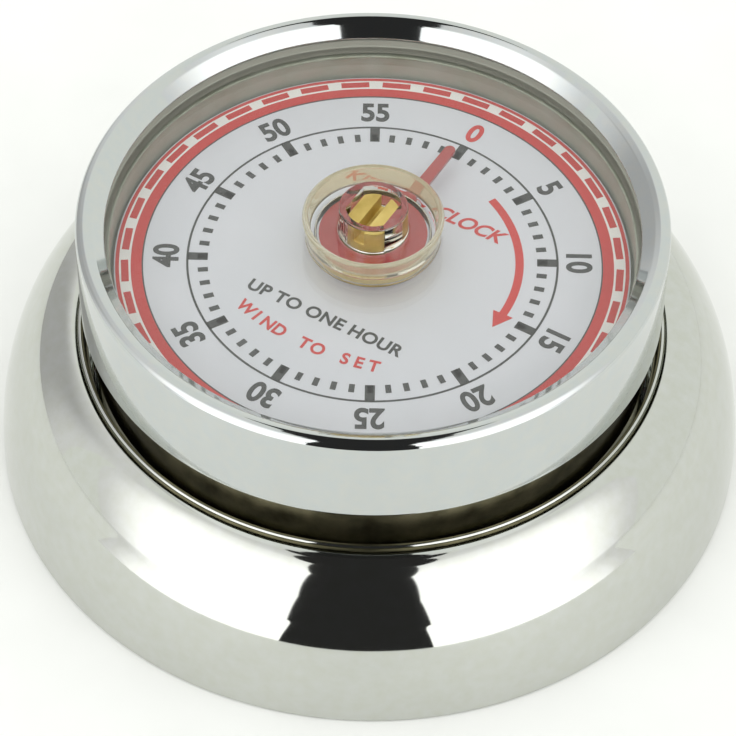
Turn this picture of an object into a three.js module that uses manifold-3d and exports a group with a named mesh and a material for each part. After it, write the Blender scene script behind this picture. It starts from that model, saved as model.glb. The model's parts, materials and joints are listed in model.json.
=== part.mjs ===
// Wind-up kitchen timer: a flared chromed base, a turning chromed bezel that carries the
// window and the pointer, and a complete clockwork movement with its alarm bell inside.
// Millimetres, +Z up, origin at the centre of the underside, dial "0" towards +Y.
import * as THREE from "three";
import { mergeVertices } from "three/addons/utils/BufferGeometryUtils.js";
import Module from "manifold-3d";

const wasm = await Module();
wasm.setup();

// ---- driving dimensions -------------------------------------------------------------
const ROUND = 36;             // facets round the large turned pieces
const GAP = 0.3;              // clearance between neighbouring pieces
const SHEET = 0.7;            // thickness of the pressed steel

const DIAL_Z = 22.8;          // face of the dial
const DIAL_R = 23.6;
const DIAL_THICK = 0.4;
const CREST_Z = 29.0;         // top of the bezel
const BEZEL_R = 26.85;
const SKIRT_Z = 19.4;         // lower edge of the bezel
const LIP_R = 24.25;          // opening above the dial
const FOOT_R = 35.1;          // base, where it stands
const BASE_LIP_R = 27.4;      // base, at the rolled bead
const BASE_LIP_Z = 15.5;
const NECK_R = 25.5;          // fixed collar seen between base and bezel
const NECK_LOW = 11.9;
const NECK_TOP = 22.0;
const LENS_R = 25.6;
const LENS_BOTTOM = 25.6;
const PANE_THICK = 0.8;
const LENS_EDGE_THICK = 1.5;  // the window's rim is thicker, where the bezel holds it
const CUP_R = 6.45;           // clear cup in the middle of the window, at its mouth
const CUP_TOP = 29.15;
const CUP_FLOOR = 27.4;
const HUB_R = 4.95;           // pointer's hub, under the cup
const TUBE_R = 3.2;           // clear tube in the cup, round the brass shaft
const TUBE_TOP = 30.3;

const SHAFT_R = 2.4;          // winding shaft, above the dial: a bar with two flats
const SHAFT_FLAT = 1.85;
const SHAFT_TOP = 29.4;
const DIAL_HOLE_R = 3.0;
const COVER_R = 33.7;         // bottom cover, and the inner edge of the base's turned-in foot
const FOOT_INNER_R = 33.0;
const MAGNET_OUTER_R = 18.4;
const MAGNET_INNER_R = 8.0;
const MAGNET_TOP = 3.1;

const BACK_Z = 9.6;           // underside of the back plate
const FRONT_Z = 18.8;         // underside of the front plate
const PLATE_T = 0.8;
const PLATE_R = 23.6;
const PILLAR_CIRCLE = 21.3;
const PILLAR_ANGLES = [72, 180, 300];
const POST_CIRCLE = 22.4;
const POST_ANGLES = [35, 150, 275];

const ARBOR_R = 2.0;
const PIVOT_R = 0.6;
const SHAFT_LOW = BACK_Z - 0.6;
const SHAFT_HIGH = FRONT_Z + PLATE_T + 0.4;

// Wheel train: module, teeth and the distance of each arbor from the centre.
const GREAT = { module: 0.4, teeth: 60, pinion: 10, z: 17.5, thick: 0.8 };
const SECOND = { module: 0.35, teeth: 40, pinion: 8, z: 11.0, thick: 0.6 };
const THIRD = { module: 0.35, teeth: 40, pinion: 8, z: 12.1, thick: 0.5 };
const ESCAPE = { teeth: 15, radius: 4.2, z: 13.9, thick: 0.5 };
const CIRCLE_2 = GREAT.module * (GREAT.teeth + GREAT.pinion) / 2;
const CIRCLE_3 = 14.2;
const BALANCE_CIRCLE = 17;
const ANCHOR_SPAN = 6.5;      // escape arbor to anchor arbor
const FORK_REACH = 7.3;       // anchor arbor to impulse pin
const ROLLER_PIN = 1.5;       // balance staff to impulse pin

const CAM_R = 6.3;
const CAM_Z = FRONT_Z + PLATE_T + GAP;
const TAIL_TIP = 0.5;
const HAMMER_CIRCLE = 19;
const HAMMER_ANGLE = 240;
const BELL_R = 13.5;
const BELL_RIM_Z = 5.0;

const chrome = { color: 0xc9cbc8, roughness: 0.08, metalness: 1 };
const steel = { color: 0x9a9b98, roughness: 0.35, metalness: 1 };
const satin = { color: 0x8b8e85, roughness: 0.45, metalness: 1 };
const brass = { color: 0xb99a4b, roughness: 0.3, metalness: 1 };
const ferrite = { color: 0x2b2b2d, roughness: 0.6, metalness: 0.1 };
const paper = { color: 0xcfd2da, roughness: 0.6, metalness: 0 };
const clear = { color: 0xf2f1e6, roughness: 0.05, metalness: 0, transparent: true, opacity: 0.35 };
const red = { color: 0xc62828, roughness: 0.4, metalness: 0 };

// ---- helpers ------------------------------------------------------------------------
const timer = new THREE.Group();

function place(name, geometry, finish) {
  const mesh = new THREE.Mesh(geometry, new THREE.MeshStandardMaterial(finish));
  mesh.name = name;
  timer.add(mesh);
  return mesh;
}

function polar(radius, degrees) {
  const a = THREE.MathUtils.degToRad(degrees);
  return new THREE.Vector2(radius * Math.cos(a), radius * Math.sin(a));
}

// Angle between two arbors on circles r1 and r2 whose centres are span apart.
function angleBetween(r1, r2, span) {
  return THREE.MathUtils.radToDeg(Math.acos((r1 * r1 + r2 * r2 - span * span) / (2 * r1 * r2)));
}

function toSolid(geometry) {
  const bare = geometry.index ? geometry.toNonIndexed() : geometry.clone();
  bare.deleteAttribute("normal");
  bare.deleteAttribute("uv");
  const merged = mergeVertices(bare, 1e-4);
  return new wasm.Manifold(new wasm.Mesh({
    numProp: 3,
    vertProperties: new Float32Array(merged.attributes.position.array),
    triVerts: new Uint32Array(merged.index.array),
  }));
}

function fromSolid(solid) {
  const mesh = solid.getMesh();
  const geometry = new THREE.BufferGeometry();
  geometry.setAttribute("position", new THREE.BufferAttribute(mesh.vertProperties, 3));
  geometry.setIndex(new THREE.BufferAttribute(mesh.triVerts, 1));
  return geometry;
}

function join(...geometries) {
  return fromSolid(geometries.map(toSolid).reduce((a, b) => a.add(b)));
}

function cut(geometry, ...tools) {
  return fromSolid(tools.map(toSolid).reduce((a, b) => a.subtract(b), toSolid(geometry)));
}

// Turned piece from a closed outline of [radius, height] points, anticlockwise in (r, z).
function turned(outline, facets = ROUND) {
  const points = [...outline, outline[0]].map(([r, z]) => new THREE.Vector2(r, z));
  return new THREE.LatheGeometry(points, facets).rotateX(Math.PI / 2);
}

// Turned piece whose outline starts and ends on the axis.
function turnedSolid(outline, facets = 16) {
  const points = outline.map(([r, z]) => new THREE.Vector2(r, z));
  return new THREE.LatheGeometry(points, facets).rotateX(Math.PI / 2);
}

function disc(radius, z0, z1, centre = new THREE.Vector2(), facets = 16) {
  const solid = turnedSolid([[0, z0], [radius, z0], [radius, z1], [0, z1]], facets);
  return solid.translate(centre.x, centre.y, 0);
}

function ring(inner, outer, z0, z1, centre = new THREE.Vector2(), facets = ROUND) {
  const solid = turned([[inner, z0], [outer, z0], [outer, z1], [inner, z1]], facets);
  return solid.translate(centre.x, centre.y, 0);
}

function slab(points, z0, z1) {
  const shape = new THREE.Shape(points.map((p) => new THREE.Vector2(p.x, p.y)));
  return new THREE.ExtrudeGeometry(shape, { depth: z1 - z0, bevelEnabled: false }).translate(0, 0, z0);
}

// Flat bar of the given width from point a to point b.
function bar(a, b, width, z0, z1) {
  const along = b.clone().sub(a).normalize().multiplyScalar(width / 2);
  const side = new THREE.Vector2(-along.y, along.x);
  const corners = [a.clone().sub(side), b.clone().sub(side), b.clone().add(side), a.clone().add(side)];
  return slab(corners, z0, z1);
}

// Toothed outline with slim teeth; a tooth is centred on angle phase.
function gear(module, teeth, phase, z0, z1, centre = new THREE.Vector2()) {
  const pitchRadius = module * teeth / 2;
  const step = 360 / teeth;
  const flanks = [[-1.3, -0.24], [0.7, -0.11], [0.7, 0.11], [-1.3, 0.24]];
  const points = [];
  for (let i = 0; i < teeth; i += 1) {
    for (const [height, side] of flanks) {
      points.push(polar(pitchRadius + height * module, phase + (i + side) * step).add(centre));
    }
  }
  return slab(points, z0, z1);
}

// Saw-toothed outline, as on a ratchet or an escape wheel.
function sawWheel(radius, depth, teeth, phase, z0, z1, centre = new THREE.Vector2()) {
  const points = [];
  for (let i = 0; i < teeth; i += 1) {
    points.push(polar(radius - depth, phase + (i - 0.15) * 360 / teeth).add(centre));
    points.push(polar(radius, phase + i * 360 / teeth).add(centre));
    points.push(polar(radius, phase + (i + 0.08) * 360 / teeth).add(centre));
  }
  return slab(points, z0, z1);
}

// Flat strip wound into a spiral, standing between z0 and z1.
function spiral(inner, outer, turns, strip, z0, z1, startAngle, centre = new THREE.Vector2()) {
  const steps = Math.round(turns * 14);
  const outside = [];
  const inside = [];
  for (let i = 0; i <= steps; i += 1) {
    const angle = startAngle + 360 * turns * i / steps;
    const radius = inner + (outer - inner) * i / steps;
    outside.push(polar(radius + strip, angle).add(centre));
    inside.push(polar(radius, angle).add(centre));
  }
  return slab([...outside, ...inside.reverse()], z0, z1);
}

// ---- places of the arbors -----------------------------------------------------------
const angle2 = 0;
const angle3 = angle2 + angleBetween(CIRCLE_2, CIRCLE_3, SECOND.module * (SECOND.teeth + SECOND.pinion) / 2);
const angleEscape = angle3 + angleBetween(CIRCLE_3, CIRCLE_3, THIRD.module * (THIRD.teeth + THIRD.pinion) / 2);
const angleAnchor = angleEscape + angleBetween(CIRCLE_3, CIRCLE_3, ANCHOR_SPAN);
const angleBalance = angleAnchor + angleBetween(CIRCLE_3, BALANCE_CIRCLE, FORK_REACH + ROLLER_PIN);
const arbor2 = polar(CIRCLE_2, angle2);
const arbor3 = polar(CIRCLE_3, angle3);
const arborEscape = polar(CIRCLE_3, angleEscape);
const arborAnchor = polar(CIRCLE_3, angleAnchor);
const arborBalance = polar(BALANCE_CIRCLE, angleBalance);
const arborHammer = polar(HAMMER_CIRCLE, HAMMER_ANGLE);
const trainArbors = [arbor2, arbor3, arborEscape, arborAnchor, arborBalance, arborHammer];

function direction(from, to) {
  return THREE.MathUtils.radToDeg(Math.atan2(to.y - from.y, to.x - from.x));
}

// ---- case ---------------------------------------------------------------------------
function baseShell() {
  const outline = [];
  const width = FOOT_R - BASE_LIP_R;
  const height = BASE_LIP_Z - 0.5;
  outline.push([FOOT_INNER_R, 0], [FOOT_R - 0.35, 0], [FOOT_R - 0.08, 0.15]);
  for (let i = 0; i <= 8; i += 1) {
    const a = Math.PI / 2 * i / 8;
    outline.push([BASE_LIP_R + width * Math.cos(a), 0.5 + height * Math.sin(a)]);
  }
  const rollR = BASE_LIP_R - 0.6;
  const ledgeR = NECK_R + 0.4;
  const ledgeZ = BASE_LIP_Z - 1.9;
  outline.push([BASE_LIP_R - 0.3, BASE_LIP_Z - 0.35], [rollR + 0.1, BASE_LIP_Z - 0.9], [rollR, ledgeZ + 0.1]);
  outline.push([ledgeR, ledgeZ], [ledgeR, ledgeZ - 0.6]);
  outline.push([BASE_LIP_R, ledgeZ - 0.5], [BASE_LIP_R + 0.2, BASE_LIP_Z - SHEET - 0.2]);
  for (let i = 6; i >= 1; i -= 1) {
    const a = Math.PI / 2 * i / 8;
    outline.push([BASE_LIP_R + (width - SHEET) * Math.cos(a), 0.5 + (height - SHEET) * Math.sin(a)]);
  }
  outline.push([FOOT_R - SHEET, SHEET], [FOOT_INNER_R, SHEET]);
  return turned(outline);
}

function neckCollar() {
  const inside = NECK_R - 0.6;
  const flangeR = NECK_R + 1.6;
  const flangeTop = NECK_LOW + SHEET;
  return turned([
    [inside, NECK_LOW], [flangeR, NECK_LOW], [flangeR, flangeTop], [NECK_R, flangeTop + 0.1],
    [NECK_R, NECK_TOP], [inside, NECK_TOP],
  ]);
}

// Tray under the dial. Its flange lies on the neck collar and its wall stands up to the window.
function dialCup() {
  const floor = DIAL_Z - DIAL_THICK - GAP;
  const inner = DIAL_R + GAP;
  const outer = inner + 0.6;
  const flangeR = NECK_R + 0.35;
  const flangeZ = NECK_TOP + GAP;
  const top = LENS_BOTTOM - GAP;
  return turned([
    [DIAL_HOLE_R, floor - 0.6], [outer, floor - 0.6], [outer, flangeZ], [flangeR, flangeZ],
    [flangeR, flangeZ + 0.5], [outer, flangeZ + 0.5], [outer, top], [inner, top], [inner, floor],
    [DIAL_HOLE_R, floor],
  ]);
}

function dialPlate() {
  return ring(DIAL_HOLE_R, DIAL_R, DIAL_Z - DIAL_THICK, DIAL_Z);
}

// Pressed cover with a raised middle that holds the ring magnet.
function bottomCover() {
  const low = 1.0;
  const wellR = MAGNET_OUTER_R + 0.4;
  const wellZ = MAGNET_TOP + GAP;
  const plate = turnedSolid([
    [0, wellZ], [wellR, wellZ], [wellR, low], [COVER_R, low], [COVER_R, low + SHEET],
    [wellR + SHEET, low + SHEET], [wellR + SHEET, wellZ + SHEET], [0, wellZ + SHEET],
  ], ROUND);
  const holes = POST_ANGLES.map((a) => disc(1.2, 0.5, 2.2, polar(POST_CIRCLE, a), 12));
  return cut(plate, ...holes);
}

function coverScrew(angle) {
  const centre = polar(POST_CIRCLE, angle);
  const head = disc(1.9, 0.2, 0.7, centre, 16);
  const shank = disc(0.85, 0.6, 4.5, centre, 8);
  return cut(join(head, shank), slotTool(centre, 0.5, 0, 0.45, 5));
}

// Screwdriver slot of the given width, from z0 to z1.
function slotTool(centre, width, z0, z1, length) {
  const half = new THREE.Vector2(length / 2, 0);
  return bar(centre.clone().sub(half), centre.clone().add(half), width, z0, z1);
}

function coverPost(angle) {
  const centre = polar(POST_CIRCLE, angle);
  return cut(disc(1.9, 2.0, BACK_Z - GAP, centre, 6), disc(1.15, 1.5, 5.2, centre, 12));
}

// ---- bezel, window and pointer ------------------------------------------------------
function bezelRing() {
  const inner = BEZEL_R - SHEET;
  return turned([
    [inner, SKIRT_Z], [BEZEL_R, SKIRT_Z], [BEZEL_R, 28.0], [26.72, 28.5], [26.4, 28.85], [25.95, CREST_Z],
    [25.5, 28.92], [25.0, 28.6], [24.45, 28.05], [LIP_R, 27.7], [24.35, 27.45], [24.7, 27.45],
    [25.2, 27.85], [25.6, 28.2], [25.95, 28.2], [inner, 27.8],
  ]);
}

function retainingRing() {
  const outer = BEZEL_R - SHEET - GAP;
  return ring(outer - 1, outer, LENS_BOTTOM - GAP - 0.7, LENS_BOTTOM - GAP, undefined, 32);
}

// Shaft section with two flats, grown by extra on every side.
function doubleD(extra, z0, z1) {
  const radius = SHAFT_R + extra;
  const flat = SHAFT_FLAT + extra;
  const limit = Math.acos(flat / radius);
  const shape = new THREE.Shape();
  shape.absarc(0, 0, radius, limit, Math.PI - limit, false);
  shape.absarc(0, 0, radius, Math.PI + limit, 2 * Math.PI - limit, false);
  const options = { depth: z1 - z0, bevelEnabled: false, curveSegments: 6 };
  return new THREE.ExtrudeGeometry(shape, options).translate(0, 0, z0);
}

// Window with a raised cup in its middle. The pocket under the cup takes the pointer's hub.
function lens() {
  const paneTop = LENS_BOTTOM + PANE_THICK;
  const edgeTop = LENS_BOTTOM + LENS_EDGE_THICK;
  const edgeR = LIP_R + 0.4;
  const roof = CUP_FLOOR - 0.5;
  const pocketR = HUB_R + 0.35;
  const body = turnedSolid([
    [0, roof], [pocketR, roof], [pocketR, LENS_BOTTOM], [LENS_R, LENS_BOTTOM], [LENS_R, edgeTop],
    [edgeR, edgeTop], [edgeR - 0.1, paneTop], [CUP_R - 0.35, paneTop], [CUP_R, CUP_TOP - 0.3],
    [CUP_R - 0.15, CUP_TOP], [CUP_R - 0.5, CUP_TOP], [CUP_R - 0.75, CUP_FLOOR], [TUBE_R, CUP_FLOOR],
    [TUBE_R - 0.05, TUBE_TOP], [0, TUBE_TOP],
  ], ROUND);
  return cut(body, doubleD(GAP, roof - 1, TUBE_TOP + 1));
}

// Red hand. Its hub fills the pocket under the cup and its arm points at the 0.
function pointer() {
  const low = LENS_BOTTOM - 1.1;
  const armTop = low + 0.45;
  const hubTop = CUP_FLOOR - 0.8;
  const hub = disc(HUB_R, low, hubTop, undefined, 32);
  const half = [[2.6, 3.6], [0.62, 6.6], [0.5, 14.2], [0.3, 14.5]];
  const right = half.map(([x, y]) => new THREE.Vector2(x, y));
  const left = half.map(([x, y]) => new THREE.Vector2(-x, y)).reverse();
  const arm = slab([...right, ...left], low, armTop);
  return cut(join(hub, arm), doubleD(GAP, low - 1, hubTop + 1));
}

function windingArbor() {
  const pivotLow = BACK_Z + 0.1;
  const shoulder = BACK_Z + PLATE_T + GAP;
  const roundTop = DIAL_Z - 0.2;
  const shaft = turnedSolid([
    [0, pivotLow], [0.9, pivotLow], [0.9, shoulder], [ARBOR_R, shoulder], [ARBOR_R, roundTop], [0, roundTop],
  ], 24);
  const slotWidth = 0.95;
  const slotDepth = 1.5;
  const past = new THREE.Vector2(0, 4);
  const slot = bar(past.clone().negate(), past, slotWidth, SHAFT_TOP - slotDepth, SHAFT_TOP + 1);
  return cut(join(shaft, doubleD(0, roundTop - 0.2, SHAFT_TOP)), slot);
}

// ---- movement plates ----------------------------------------------------------------
function plate(z, centreHole) {
  const holes = [disc(centreHole, z - 1, z + 2, undefined, 20)];
  for (const centre of trainArbors) {
    holes.push(disc(PIVOT_R + 0.4, z - 1, z + 2, centre, 8));
  }
  for (const angle of PILLAR_ANGLES) {
    holes.push(disc(1.15, z - 1, z + 2, polar(PILLAR_CIRCLE, angle), 8));
  }
  return cut(disc(PLATE_R, z, z + PLATE_T, undefined, ROUND), ...holes);
}

function pillar(angle) {
  const tenonTop = FRONT_Z + PLATE_T + 1.4;
  const solid = turnedSolid([
    [0, BACK_Z - 0.6], [0.8, BACK_Z - 0.6], [0.8, BACK_Z + PLATE_T + GAP], [1.5, BACK_Z + PLATE_T + GAP],
    [1.5, FRONT_Z - GAP], [0.8, FRONT_Z - GAP], [0.8, tenonTop], [0, tenonTop],
  ], 10);
  const centre = polar(PILLAR_CIRCLE, angle);
  return solid.translate(centre.x, centre.y, 0);
}

function pillarNut(angle) {
  const z = FRONT_Z + PLATE_T + GAP;
  const centre = polar(PILLAR_CIRCLE, angle);
  return cut(disc(1.9, z, z + 0.9, centre, 6), disc(1.1, z - 1, z + 2, centre, 8));
}

// ---- wheel train --------------------------------------------------------------------
function wheelBlank(blank, hole, windows, windowCircle, windowRadius, centre, z) {
  const tools = [disc(hole, z - 1, z + 2, centre, 16)];
  for (let i = 0; i < windows; i += 1) {
    const at = polar(windowCircle, 360 * (i + 0.5) / windows).add(centre);
    tools.push(disc(windowRadius, z - 1, z + 2, at, 8));
  }
  return cut(blank, ...tools);
}

function greatWheel() {
  const blank = gear(GREAT.module, GREAT.teeth, angle2, GREAT.z, GREAT.z + GREAT.thick);
  return wheelBlank(blank, ARBOR_R + GAP, 4, 8.4, 1.7, new THREE.Vector2(), GREAT.z);
}

function trainWheel(spec, centre, next) {
  const blank = gear(spec.module, spec.teeth, direction(centre, next), spec.z, spec.z + spec.thick, centre);
  return wheelBlank(blank, PIVOT_R + GAP, 4, 3.9, 1.5, centre, spec.z);
}

// Arbor with its pinion; the pinion meshes with the wheel before it in the train.
function pinionArbor(driver, driverCentre, centre) {
  const gapAngle = direction(centre, driverCentre) + 180 / driver.pinion;
  const z0 = driver.z - 0.25;
  const z1 = driver.z + driver.thick + 0.25;
  const leaves = gear(driver.module, driver.pinion, gapAngle, z0, z1, centre);
  return join(leaves, disc(PIVOT_R, SHAFT_LOW, SHAFT_HIGH, centre, 8));
}

function ratchetWheel() {
  const z = GREAT.z - GAP - 0.6;
  return cut(sawWheel(5.4, 1.0, 20, 0, z, z + 0.6), disc(ARBOR_R + GAP, z - 1, z + 2, undefined, 16));
}

const CLICK_CIRCLE = 9.2;
const CLICK_ANGLE = 100;
const CLICK_PIVOT = polar(CLICK_CIRCLE, CLICK_ANGLE);
const CLICK_REACH = 5.8;      // radius of the click's nose from the centre

function click() {
  const z = GREAT.z - GAP - 0.6;
  const ahead = THREE.MathUtils.radToDeg(Math.acos(CLICK_REACH / CLICK_CIRCLE));
  const nose = polar(CLICK_REACH + 0.35, CLICK_ANGLE - ahead);
  return cut(
    join(disc(1.2, z, z + 0.6, CLICK_PIVOT, 12), bar(CLICK_PIVOT, nose, 0.7, z, z + 0.6)),
    disc(0.75, z - 1, z + 2, CLICK_PIVOT, 12),
  );
}

function clickRivet() {
  return disc(0.45, GREAT.z - GAP - 0.9, GREAT.z - 0.05, CLICK_PIVOT, 12);
}

function clickSpring() {
  const z = GREAT.z - GAP - 0.5;
  return bar(polar(11.5, 117), polar(11.5, 84), 0.3, z, z + 0.4);
}

function alarmCam() {
  const notchAngle = tailAngle();
  const notch = bar(polar(4.6, notchAngle), polar(8, notchAngle), 2.4, CAM_Z - 1, CAM_Z + 2);
  const body = disc(CAM_R, CAM_Z, CAM_Z + 0.6, undefined, 36);
  return cut(body, notch, disc(ARBOR_R + GAP, CAM_Z - 1, CAM_Z + 2, undefined, 16));
}

// ---- escapement and balance ---------------------------------------------------------
function escapeWheel() {
  const top = ESCAPE.z + ESCAPE.thick;
  const blank = sawWheel(ESCAPE.radius, 1.1, ESCAPE.teeth, angleAnchor, ESCAPE.z, top, arborEscape);
  return cut(blank, disc(PIVOT_R + GAP, ESCAPE.z - 1, ESCAPE.z + 2, arborEscape, 12));
}

function anchor() {
  const z = ESCAPE.z + ESCAPE.thick + 0.8;
  const toAnchor = direction(arborEscape, arborAnchor);
  const pins = [-50, 50].map((side) => polar(ESCAPE.radius + 0.8, toAnchor + side).add(arborEscape));
  const toBalance = direction(arborAnchor, arborBalance);
  const forkEnd = polar(FORK_REACH + 0.6, toBalance).add(arborAnchor);
  const pieces = [disc(1.3, z, z + 0.6, arborAnchor, 16), disc(PIVOT_R, SHAFT_LOW, SHAFT_HIGH, arborAnchor, 8)];
  for (const pin of pins) {
    pieces.push(bar(arborAnchor, pin, 0.9, z, z + 0.6));
    pieces.push(disc(0.45, z, z + 0.6, pin, 12));
    pieces.push(disc(0.25, ESCAPE.z - 0.3, z + 0.3, pin, 8));
  }
  pieces.push(bar(arborAnchor, forkEnd, 1.9, z, z + 0.6));
  const slotStart = polar(FORK_REACH - 0.8, toBalance).add(arborAnchor);
  const slotEnd = polar(FORK_REACH + 2, toBalance).add(arborAnchor);
  return cut(join(...pieces), bar(slotStart, slotEnd, 0.96, z - 1, z + 2));
}

function balanceWheel() {
  const z = 12.6;
  const spokes = [0, 90].map((a) => bar(
    polar(5, angleBalance + a).add(arborBalance),
    polar(-5, angleBalance + a).add(arborBalance),
    0.8, z, z + 0.5,
  ));
  const rim = ring(4.7, 5.5, z, z + 0.8, arborBalance, 24);
  const body = join(rim, disc(1.6, z, z + 0.5, arborBalance, 16), ...spokes);
  return cut(body, disc(0.75, z - 1, z + 2, arborBalance, 12));
}

function balanceStaff() {
  const leverZ = ESCAPE.z + ESCAPE.thick + 0.8;
  const toAnchor = direction(arborBalance, arborAnchor);
  const pin = polar(ROLLER_PIN, toAnchor).add(arborBalance);
  return join(
    disc(0.45, SHAFT_LOW, SHAFT_HIGH, arborBalance, 8),
    disc(2.1, leverZ + 0.95, leverZ + 1.45, arborBalance, 20),
    disc(0.3, leverZ - 0.3, leverZ + 1.1, pin, 10),
  );
}

// ---- alarm --------------------------------------------------------------------------
// Radius at which the hammer's tail rides outside the cam, and its angle round the centre.
const TAIL_RIDE = CAM_R + 0.35 + TAIL_TIP;

function tailAngle() {
  return HAMMER_ANGLE + THREE.MathUtils.radToDeg(Math.acos(TAIL_RIDE / HAMMER_CIRCLE));
}

function hammerArbor() {
  return disc(PIVOT_R, BELL_RIM_Z + 0.2, CAM_Z + 0.9, arborHammer, 12);
}

function camFollower() {
  const tip = polar(TAIL_RIDE, tailAngle());
  const knee = polar(TAIL_RIDE + 1.6, tailAngle());
  const body = join(
    disc(1.5, CAM_Z, CAM_Z + 0.6, arborHammer, 16),
    bar(arborHammer, knee, 1.0, CAM_Z, CAM_Z + 0.6),
    bar(knee, tip, 1.0, CAM_Z, CAM_Z + 0.6),
    disc(0.7, CAM_Z, CAM_Z + 0.6, knee, 12),
  );
  return cut(body, disc(PIVOT_R + GAP, CAM_Z - 1, CAM_Z + 2, arborHammer, 12));
}

const HAMMER_HEAD = polar(8, HAMMER_ANGLE + 125).add(arborHammer);

function hammerArm() {
  const z = BELL_RIM_Z + 1.1;
  const shortOfHead = HAMMER_HEAD.clone().sub(polar(1.55, HAMMER_ANGLE + 125));
  const body = join(disc(1.5, z, z + 0.7, arborHammer, 16), bar(arborHammer, shortOfHead, 0.9, z, z + 0.7));
  return cut(body, disc(PIVOT_R + GAP, z - 1, z + 2, arborHammer, 12));
}

function hammerHead() {
  return disc(1.2, BELL_RIM_Z + 0.3, BELL_RIM_Z + 2.4, HAMMER_HEAD, 16);
}

function hammerSpring() {
  const from = polar(5.2, HAMMER_ANGLE + 75).add(arborHammer);
  const to = polar(3.4, HAMMER_ANGLE + 92).add(arborHammer);
  const root = disc(0.6, BELL_RIM_Z + 1.1, BACK_Z - GAP, from, 10);
  return join(root, bar(from, to, 0.3, BELL_RIM_Z + 1.2, BELL_RIM_Z + 1.7));
}

function bell() {
  const outline = [];
  const rise = 3.3;
  for (let i = 0; i <= 3; i += 1) {
    const a = Math.PI / 2 * i / 3;
    outline.push([BELL_R - 2 + 2 * Math.cos(a), BELL_RIM_Z + 2 + (rise - 2) * Math.sin(a)]);
  }
  const inside = outline.slice().reverse().map(([r, z]) => [Math.max(r - 0.5, 0), z - 0.5]);
  return turned([
    [BELL_R - 0.5, BELL_RIM_Z], [BELL_R, BELL_RIM_Z], ...outline, [1.1, BELL_RIM_Z + rise + 0.2],
    [1.1, BELL_RIM_Z + rise - 0.3], ...inside,
  ], 28);
}

function bellPost() {
  const top = BELL_RIM_Z + 2.7;
  return cut(disc(1.8, 4.4, top, undefined, 16), disc(1.1, 4.9, top + 1, undefined, 12));
}

function bellScrew() {
  const seat = BELL_RIM_Z + 3.3 + 0.2 + GAP;
  const body = join(disc(1.9, seat, seat + 0.5, undefined, 16), disc(0.8, 5.2, seat + 0.2, undefined, 8));
  return cut(body, slotTool(new THREE.Vector2(), 0.4, seat + 0.3, seat + 1, 5));
}

// ---- springs ------------------------------------------------------------------------
function mainspring() {
  return spiral(3.0, 9.2, 6, 0.3, 13.0, 16.2, 180);
}

function mainspringStud() {
  return disc(0.7, BACK_Z + PLATE_T + GAP, 16.4, polar(10.4, 180), 10);
}

function hairspring() {
  return spiral(1.1, 4.1, 4, 0.18, 11.3, 11.8, angleBalance, arborBalance);
}

function hairspringStud() {
  return disc(0.5, BACK_Z + PLATE_T + GAP, 12.1, polar(5.1, angleBalance).add(arborBalance), 12);
}

// ---- assembly -----------------------------------------------------------------------
place("base_shell", baseShell(), chrome);
place("neck_collar", neckCollar(), chrome);
place("bottom_cover", bottomCover(), steel);
place("magnet_ring", ring(MAGNET_INNER_R, MAGNET_OUTER_R, 0, MAGNET_TOP, undefined, 40), ferrite);
POST_ANGLES.forEach((angle, i) => {
  place(`cover_screw_${i + 1}`, coverScrew(angle), steel);
  place(`cover_post_${i + 1}`, coverPost(angle), brass);
});
place("dial_cup", dialCup(), satin);
place("dial_plate", dialPlate(), paper);

place("bezel_ring", bezelRing(), chrome);
place("lens_retaining_ring", retainingRing(), steel);
place("lens", lens(), clear);
place("pointer", pointer(), red);
place("winding_arbor", windingArbor(), brass);

place("back_plate", plate(BACK_Z, 1.3), brass);
place("front_plate", plate(FRONT_Z, ARBOR_R + GAP), brass);
PILLAR_ANGLES.forEach((angle, i) => {
  place(`pillar_${i + 1}`, pillar(angle), brass);
  place(`pillar_nut_${i + 1}`, pillarNut(angle), steel);
});

place("great_wheel", greatWheel(), brass);
place("ratchet_wheel", ratchetWheel(), steel);
place("click", click(), steel);
place("click_rivet", clickRivet(), steel);
place("click_spring", clickSpring(), steel);
place("alarm_cam", alarmCam(), brass);
place("second_wheel", trainWheel(SECOND, arbor2, arbor3), brass);
place("second_pinion", pinionArbor(GREAT, new THREE.Vector2(), arbor2), steel);
place("third_wheel", trainWheel(THIRD, arbor3, arborEscape), brass);
place("third_pinion", pinionArbor(SECOND, arbor2, arbor3), steel);
place("escape_wheel", escapeWheel(), brass);
place("escape_pinion", pinionArbor(THIRD, arbor3, arborEscape), steel);
place("anchor", anchor(), steel);
place("balance_wheel", balanceWheel(), brass);
place("balance_staff", balanceStaff(), steel);

place("hammer_arbor", hammerArbor(), steel);
place("cam_follower", camFollower(), steel);
place("hammer_arm", hammerArm(), steel);
place("hammer_head", hammerHead(), brass);
place("hammer_spring", hammerSpring(), steel);
place("bell", bell(), steel);
place("bell_post", bellPost(), steel);
place("bell_screw", bellScrew(), steel);

place("mainspring", mainspring(), steel);
place("mainspring_stud", mainspringStud(), steel);
place("hairspring", hairspring(), steel);
place("hairspring_stud", hairspringStud(), brass);

export default timer;
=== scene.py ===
# %% [markdown]
# # A wind-up kitchen timer
# The mechanical model is loaded first and never moved. It holds every piece at its real
# size, already in mesh with its neighbours. This lesson gives it a fine surface: smooth
# turned shells, a clear window, a printed dial and real finishes.

# %% Load the mechanical model
import json
import math

import bmesh
import bpy
from mathutils import Matrix, Vector


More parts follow.
